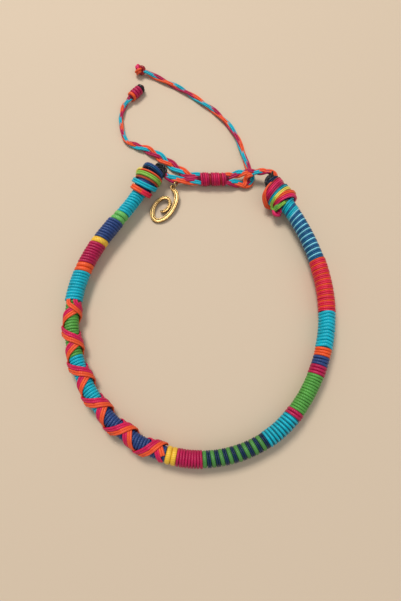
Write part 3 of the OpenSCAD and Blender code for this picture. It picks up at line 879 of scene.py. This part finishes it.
Wrap = namedtuple("Wrap", "node inner outer to_inner to_outer rise lean threads")
LEFT_WRAPS = [Wrap(*row) for row in (
    ("left_wrap_turquoise", 3.6, 3.5, 4.28, 4.28, 3.5, -1.5,
     [("turquoise", 0.8), ("turquoise", 0.8)]),
    # The first thin orange thread is painted darker: painted shade in the gap between the turquoise
    # and lime wraps
    ("left_wrap_thin_orange_1", 5.1, 4.5, 3.85, 3.85, 3.5, -0.6, [("shaded_orange", 0.35), ("shaded_orange", 0.3)]),
    ("left_wrap_lime", 6.2, 5.7, 4.3, 4.3, 4.0, -0.6, [("lime", 0.85), ("lime", 0.6)]),
    ("left_wrap_thin_orange_2", 7.3, 6.8, 4.1, 4.15, 3.9, -0.4, [("coral", 0.6)]),
    ("left_wrap_navy", 8.5, 8.8, 3.7, 3.75, 3.75, 0.0,
     [("midnight", 0.6), ("petrol", 0.5), ("navy", 0.65)]),
)]
RIGHT_WRAPS = [Wrap(*row) for row in (
    ("right_wrap_green", 1.1, 0.1, 4.6, 2.2, 2.55, 0.0,
     [("green", 0.5), ("leaf", 0.45), ("lime", 0.35)]),
    ("right_wrap_pink", 1.9, 1.15, 4.1, 3.8, 3.95, 0.2, [("pink", 0.6), ("pink", 0.6)]),
    ("right_wrap_orange", 2.9, 2.3, 4.4, 4.2, 4.15, 0.2, [("coral", 0.55), ("coral", 0.55)]),
    ("right_wrap_yellow", 2.9, 4.3, 4.7, 3.6, 4.15, 0.2, [("lemon", 0.5), ("lemon", 0.55)]),
    ("right_wrap_teal", 3.7, 5.6, 5.0, 3.4, 4.15, 0.2, [("turquoise", 0.5), ("teal", 0.45)]),
    ("right_wrap_magenta", 5.35, 7.85, 5.15, 3.0, 4.0, 0.1,
     [("magenta", 0.65), ("magenta", 0.65), ("pink", 0.6), ("rose", 0.6), ("wine", 0.5)]),
    ("right_wrap_navy", 9.2, 9.6, 2.5, 2.6, 2.6, 0.0, [("midnight", 0.55), ("midnight", 0.55)]),
)]
WRAP_H = 0.9
WRAP_STEPS = 60
WRAP_OVERLAP = 1.02
WRAP_CROWN = 0.12  # how much lower a thread lies for each millimetre off the wrap's middle
# Two threads of the lowest left wrap, which cross on top. Columns: colour, then as in the wraps
LEFT_CROSSED = [
    ("orange", 0.9, 1.3, 2.6, 3.0, 3.0, -1.2),
    ("red", 0.95, 1.3, 3.45, 2.4, 2.6, -1.2),
]
CROSSED_THREAD = (1.6, 0.72)  # width and height


def knob_frame(pose, inner_is_left):
    """Where a knob starts, the way along it and the way to its outer side."""
    x, y, heading = pose
    h = math.radians(heading)
    left = np.array([-math.sin(h), math.cos(h), 0.0])
    forward = np.array([math.cos(h), math.sin(h), 0.0])
    return np.array([x, y, 0.0]), forward, -left if inner_is_left else left


def on_knob(knob, x, out_side, up):
    """Points of a knob: x along it, out_side away from the loop's middle, up over its axis."""
    origin, forward, outer = knob
    x, out_side, up = np.broadcast_arrays(x, out_side, up)
    flat = origin + forward * x[:, None] + outer * out_side[:, None]
    return in_space(flat[:, 0], flat[:, 1], up)


def wrap_line(knob, inner, outer, to_inner, to_outer, rise, lean, offset=0.0):
    """A closed turn round a knob, which may reach further to its inner side."""
    a = np.radians(np.linspace(0, 360, WRAP_STEPS + 1))
    x = (inner + outer) / 2 + (outer - inner) / 2 * np.cos(a) + lean * np.sin(a) + offset
    middle = (to_outer - to_inner) / 2
    out_side = middle + (to_outer + to_inner) / 2 * np.cos(a)
    points = on_knob(knob, x, out_side, rise * np.sin(a))
    return points, unit(points - on_knob(knob, x, middle, 0.0))


def make_wrap(knob, wrap, also):
    bundle = Bundle()
    offset = -sum(width for _, width in wrap.threads) / 2
    for colour, width in wrap.threads:
        offset += width / 2
        less = WRAP_H / 2 + WRAP_CROWN * abs(offset)
        points, out = wrap_line(knob, wrap.inner, wrap.outer, wrap.to_inner - less,
                                wrap.to_outer - less, wrap.rise - less, wrap.lean, offset)
        bundle.strand(points, out, width * WRAP_OVERLAP, WRAP_H, THREAD[colour], boxy=WOUND_BOXY,
                      round_ends=False)
        offset += width / 2
    bundle.make(wrap.node, also=also)


def make_crossed_wrap(knob, node):
    bundle = Bundle()
    for colour, *reaches in LEFT_CROSSED:
        points, out = wrap_line(knob, *reaches)
        bundle.double(points, out, *CROSSED_THREAD, colour, round_ends=False)
    bundle.make(node)


# Mounds of thread under the wraps

Mound = namedtuple("Mound", "node length full_from full_to aside")
LEFT_MOUND = Mound("left_knob_mound", 9.7, 2.4, 6.7, 0.0)
RIGHT_MOUND = Mound("right_knob_mound", 8.7, 1.9, 7.4, -0.8)
MOUND_R = 2.65  # of the thread's middle line, where the mound is full
MOUND_SLIM_R = 2.0
MOUND_SHOULDER = 0.6
ASIDE_FROM = 1.9
ASIDE_OVER = 0.8
MOUND_PITCH = 0.7
MOUND_THREAD = (0.735, 0.6)  # width and height
MOUND_MARGIN = 0.1
MOUND_BED_D = 3.8
MOUND_ANGLES = np.linspace(-90, 270, 33)


def make_mound(knob, mound):
    """Thread wound over the core: slim under the first and the last wrap, full between."""
    bundle = Bundle()
    turns = int((mound.length - MOUND_MARGIN) / MOUND_PITCH)
    a = np.radians(MOUND_ANGLES)
    for k in range(turns):
        spot = MOUND_MARGIN + (k + 0.5) * MOUND_PITCH
        r = np.interp(spot, [mound.full_from - MOUND_SHOULDER, mound.full_from,
                             mound.full_to, mound.full_to + MOUND_SHOULDER],
                      [MOUND_SLIM_R, MOUND_R, MOUND_R, MOUND_SLIM_R])
        is_last = k == turns - 1
        x = spot + (0 if is_last else MOUND_PITCH) * jog(MOUND_ANGLES)
        middle = mound.aside * np.clip((r - ASIDE_FROM) / ASIDE_OVER, 0, 1)
        points = on_knob(knob, x, middle + r * np.cos(a), r * np.sin(a))
        out = unit(points - on_knob(knob, x, middle, 0.0))
        bundle.strand(points, out, *MOUND_THREAD, THREAD["navy"], boxy=KNOT_BOXY,
                      round_ends=False)
    inside = on_knob(knob, np.linspace(MOUND_MARGIN, mound.length, 8), 0.0, 0.0)
    bundle.painted_shade_bed(inside, MOUND_BED_D, "navy", sides=16, round_ends=False)
    bundle.make(mound.node)


# Loose threads: x along their knob, place to the outer side, height over its axis

FAN = [
    [(8.3, -1.4, 2.5), (7.8, -2.8, 2.6), (7.1, -4.2, 2.1), (6.0, -5.0, 1.3), (4.7, -5.3, 0.3),
     (3.5, -5.1, -0.9), (2.7, -4.2, -1.9)],
    [(8.3, -1.8, 2.2), (7.6, -3.4, 2.1), (6.8, -4.8, 1.4), (5.9, -5.5, 0.6), (4.7, -5.75, -0.4),
     (3.6, -5.5, -1.5), (2.9, -4.5, -2.3)],
]
HOOK = [(3.4, -3.3, 2.9), (3.0, -4.1, 2.1), (2.5, -4.6, 0.9), (1.7, -4.8, -0.2), (0.9, -4.4, 0.1),
        (0.45, -3.5, 1.4), (0.45, -2.4, 2.5), (0.6, -1.5, 2.75)]
PINK_LOOP = [(1.8, -3.7, -1.2), (0.8, -4.6, -1.0), (-0.1, -4.7, -1.1), (-0.5, -3.9, -1.3),
             (-0.2, -3.0, -1.0), (0.3, -2.5, -0.4)]
RIGHT_TIP_LOOP = [(11.3, 0.7, 0.9), (11.2, -0.5, 1.0), (10.5, -1.6, 0.9), (9.6, -2.0, 0.8),
                  (8.8, -1.6, 1.3)]
EYELET = [(5.3, 3.9, 0.3), (5.9, 4.2, 0.9), (6.4, 4.1, 1.5), (6.75, 3.5, 2.2), (6.8, 2.6, 2.8)]
LEFT_TIP_LOOP = [(9.6, -0.6, 1.0), (10.5, -1.3, 1.0), (10.7, -2.3, 0.6), (10.1, -3.1, 0.2),
                 (9.2, -3.4, -0.2)]
DARK_TURNS = ((10.1, 1.75), (10.8, 1.4))  # place along the right knob and radius
DARK_LEAN = 0.2
DARK_THREAD = (0.75, 0.7)
LOOSE_RISE = 0.8  # thickness of a loose thread over its width
LOOSE_H = 1.0  # at most


def add_loose(bundle, knob, route, width, colour):
    """A thread that leaves its wrap."""
    route = np.array(route)
    line = smooth_route(on_knob(knob, *route.T), THREAD_STEP)
    out = line - on_knob(knob, [route[:, 0].mean()], 0.0, 0.0)
    bundle.double(line, out, width, min(LOOSE_H, width * LOOSE_RISE), colour)


def add_dark_turns(bundle, knob):
    """Black turns that close the knob's far end."""
    for x, r in DARK_TURNS:
        points, out = wrap_line(knob, x - DARK_LEAN, x + DARK_LEAN, r, r, r, 0.0)
        bundle.strand(points, out, *DARK_THREAD, THREAD["black"], round_ends=False)


start_x, start_y, start_heading = BAND_START
LEFT = knob_frame((start_x, start_y, start_heading + 180), False)
RIGHT = knob_frame(POSES[-1], True)
# Loose threads that belong to a wrap
EXTRAS = {
    "left_wrap_lime": [(add_loose, LEFT, EYELET, 0.7, "gold")],
    "right_wrap_orange": [(add_loose, RIGHT, route, 0.85, "coral") for route in FAN],
    "right_wrap_pink": [(add_loose, RIGHT, PINK_LOOP, 2.0, "pink")],
    "right_wrap_yellow": [(add_loose, RIGHT, HOOK, 0.75, "lime")],
}
make_crossed_wrap(LEFT, "left_wrap_orange")
for knob, wraps in ((LEFT, LEFT_WRAPS), (RIGHT, RIGHT_WRAPS)):
    for wrap in wraps:
        make_wrap(knob, wrap, EXTRAS.get(wrap.node, ()))
make_mound(LEFT, LEFT_MOUND)
make_mound(RIGHT, RIGHT_MOUND)


# Black cord tips, which come out of the knobs and hold the ties

LEFT_TIP_FROM = 9.8  # along its knob
LEFT_TIP = [(-13.4, 44.7, 4.5), (-12.3, 45.2, 4.5), (-11.3, 44.7, 4.2), (-10.8, 43.6, 3.7),
            (-10.6, 42.7, 3.3)]
RIGHT_TIP_FROM = 10.1
RIGHT_TIP = [(23.5, 40.9, 4.7), (23.4, 41.9, 4.8), (22.7, 42.6, 4.7)]
TIP_TWIST = 3.2  # length of one turn of the two threads
TIP_THREAD_D = 0.92
TIP_SPREAD = 0.4


def make_tip(node, knob, start, route, also):
    """Two black threads twisted round each other, and what goes with them."""
    line = smooth_route(np.vstack([on_knob(knob, [start], 0.0, 0.0), route]), THREAD_STEP)
    forward = headings(line)
    side = unit(np.cross(UP, forward))
    up = np.cross(forward, side)
    bundle = Bundle()
    for k in range(2):
        turn = (2 * math.pi * (arc_lengths(line) / TIP_TWIST + k / 2))[:, None]
        out = side * np.cos(turn) + up * np.sin(turn)
        bundle.strand(line + out * TIP_SPREAD, out, TIP_THREAD_D, TIP_THREAD_D, THREAD["black"],
                      sides=10)
    bundle.make(node, "cord", also)


make_tip("left_tip", LEFT, LEFT_TIP_FROM, LEFT_TIP,
         [(add_loose, LEFT, LEFT_TIP_LOOP, 1.4, "black")])
make_tip("right_tip", RIGHT, RIGHT_TIP_FROM, RIGHT_TIP,
         [(add_loose, RIGHT, RIGHT_TIP_LOOP, 1.2, "black"), (add_dark_turns, RIGHT),
          (add_tie_thread, TIP_THREAD)])


# Spiral charm and jump ring

CHARM_AT = np.array([-11.3, 32.0, 1.05])
CHARM_TURN = math.radians(57)
CHARM_RISE = math.radians(6.4)
CHARM_H = 0.97
# The spiral's half length and half width, and how much less they are after SPIRAL_TURN
SPIRAL_LONG = 6.6
SPIRAL_WIDE = 3.2
LONG_LESS = 5.1
WIDE_LESS = 2.4
SPIRAL_TURN = 540
SPIRAL_START = -14
SPIRAL_SWEEP = 554
SPIRAL_POINTS = 150
SPIRAL_KEPT = 5  # every so many of the points are on the route
ARM_STEP = 0.15
STEM_AT = (6.95, 0.95, 0.0)
# Shares of the arm's length, then its width and its thickness there as a share of CHARM_H
ARM_WIDTHS = ([0, 0.02, 0.06, 0.4, 0.55, 0.66, 0.97, 1],
              [0.6, 1.0, 1.6, 1.35, 1.55, 1.2, 0.95, 0.4])
ARM_HEIGHTS = ([0, 0.03, 0.97, 1], [0.55, 1, 1, 0.5])
# The arm's cross-section, across and up, as shares of its width and thickness: raised rims
ARM_SECTION = [(-0.5, -0.2), (-0.42, -0.46), (0, -0.5), (0.42, -0.46), (0.5, -0.2), (0.5, 0.25),
               (0.43, 0.47), (0.3, 0.5), (0.2, 0.36), (0, 0.3), (-0.2, 0.36), (-0.3, 0.5),
               (-0.43, 0.47), (-0.5, 0.25)]
EYE_AT = np.array([7.25, 1.15, 0.0])
EYE_R = 0.55
EYE_WIRE = 0.5
JUMP_RING_AT = np.array([-7.5, 39.5, 2.2])
JUMP_RING_TURN = math.radians(45)
JUMP_RING_R = 1.05
JUMP_RING_WIRE = 0.55


def on_charm(points):
    """From the charm's own plane to where it lies: raised towards its eye, then turned."""
    x, y, z = points.T
    cos, sin = math.cos(CHARM_RISE), math.sin(CHARM_RISE)
    return spun(np.stack([x * cos - z * sin, y, x * sin + z * cos], 1), CHARM_TURN) + CHARM_AT


def wire_ring(r, wire_d, steps=32, wire_steps=12):
    """Points and faces of a ring of round wire, flat round the origin."""
    i, k = np.meshgrid(np.arange(steps), np.arange(wire_steps), indexing="ij")
    ring, wire = 2 * math.pi * i / steps, 2 * math.pi * k / wire_steps
    reach = r + wire_d / 2 * np.cos(wire)
    points = np.stack([reach * np.cos(ring), reach * np.sin(ring), wire_d / 2 * np.sin(wire)], -1)
    after, above = (i + 1) % steps * wire_steps, (k + 1) % wire_steps
    here = i * wire_steps
    faces = np.stack([here + k, after + k, after + above, here + above], -1)
    return points.reshape(-1, 3), faces.reshape(-1, 4)


def spiral_line():
    """The arm's middle line, from the stem inward, on the charm's own plane."""
    turned = np.linspace(SPIRAL_START, SPIRAL_START + SPIRAL_SWEEP, SPIRAL_POINTS)
    t, a = turned / SPIRAL_TURN, np.radians(turned)
    arm = np.stack([(SPIRAL_LONG - LONG_LESS * t) * np.cos(a),
                    -(SPIRAL_WIDE - WIDE_LESS * t * t) * np.sin(a), 0 * t], 1)
    return smooth_route(np.vstack([[STEM_AT], arm[::SPIRAL_KEPT], arm[-1:]]), ARM_STEP)


def spiral_arm():
    """Points and faces of the arm, which has raised rims."""
    line = spiral_line()
    wide = np.interp(shares(line), *ARM_WIDTHS)
    high = CHARM_H * np.interp(shares(line), *ARM_HEIGHTS)
    left = unit(np.cross(UP, headings(line)))
    section = np.array(ARM_SECTION)
    rings = (line[:, None] + left[:, None] * section[None, :, :1] * wide[:, None, None]
             + UP * section[None, :, 1:] * high[:, None, None])
    rows, sides = rings.shape[:2]
    here, beside, beyond, ahead = face_corners(rows, sides)
    faces = np.stack([here, ahead, beyond, beside], -1).reshape(-1, 4).tolist()
    faces += [list(range(sides)), [(rows - 1) * sides + k for k in range(sides)][::-1]]
    return rings.reshape(-1, 3), faces


def make_gold(node, points, faces):
    mesh = bpy.data.meshes.new(node + "_gold")
    mesh.from_pydata((points * MM).tolist(), [], faces)
    mesh.materials.append(GOLD)
    add_piece(node, "gold", mesh)


def make_charm():
    arm, faces = spiral_arm()
    eye, eye_faces = wire_ring(EYE_R, EYE_WIRE)
    faces += (eye_faces + len(arm)).tolist()
    make_gold("spiral_charm", on_charm(np.vstack([arm, eye + EYE_AT])), faces)


def make_jump_ring():
    """It stands upright, through the eye and through a strand of the left tie."""
    flat, faces = wire_ring(JUMP_RING_R, JUMP_RING_WIRE)
    upright = flat[:, [0, 2, 1]] * (1, -1, 1)
    make_gold("jump_ring", spun(upright, JUMP_RING_TURN) + JUMP_RING_AT, faces.tolist())


make_charm()
make_jump_ring()


# Floor and light, in metres and watts

FLOOR_HALF = 1.5
# Columns: name, place, size, power and colour
LIGHTS = [
    ("window", (-0.25, 0.5, 0.9), 0.35, 8.6, (1.0, 0.97, 0.92)),
    ("sky", (0.6, -0.5, 1.0), 1.4, 3.6, (0.94, 0.97, 1.0)),
]
WORLD_COLOUR = (0.95, 0.97, 1.0)
WORLD_STRENGTH = 0.4


def make_floor():
    mesh = bpy.data.meshes.new("floor")
    corners = [(x * FLOOR_HALF, y * FLOOR_HALF, 0) for x, y in ((-1, -1), (1, -1), (1, 1), (-1, 1))]
    mesh.from_pydata(corners, [], [(0, 1, 2, 3)])
    material, _, surface = blank_material("floor", Roughness=0.75)
    surface.inputs["Base Color"].default_value = (*FLOOR_COLOUR, 1)
    mesh.materials.append(material)
    floor = add_object("floor", mesh)


def make_light(name, place, size, power, colour):
    """A square light that shines at the anklet."""
    data = bpy.data.lights.new(name, "AREA")
    data.size = size
    data.energy = power
    data.color = colour
    light = add_object(name, data)
    light.location = place
    light.rotation_mode = "QUATERNION"
    light.rotation_quaternion = (-Vector(place)).to_track_quat("-Z", "Y")


def make_world():
    world = bpy.data.worlds.new("world")
    world.use_nodes = True
    background = world.node_tree.nodes["Background"]
    background.inputs["Color"].default_value = (*WORLD_COLOUR, 1)
    background.inputs["Strength"].default_value = WORLD_STRENGTH
    bpy.context.scene.world = world


make_floor()
for row in LIGHTS:
    make_light(*row)
make_world()
bpy.context.scene.view_settings.view_transform = "Standard"
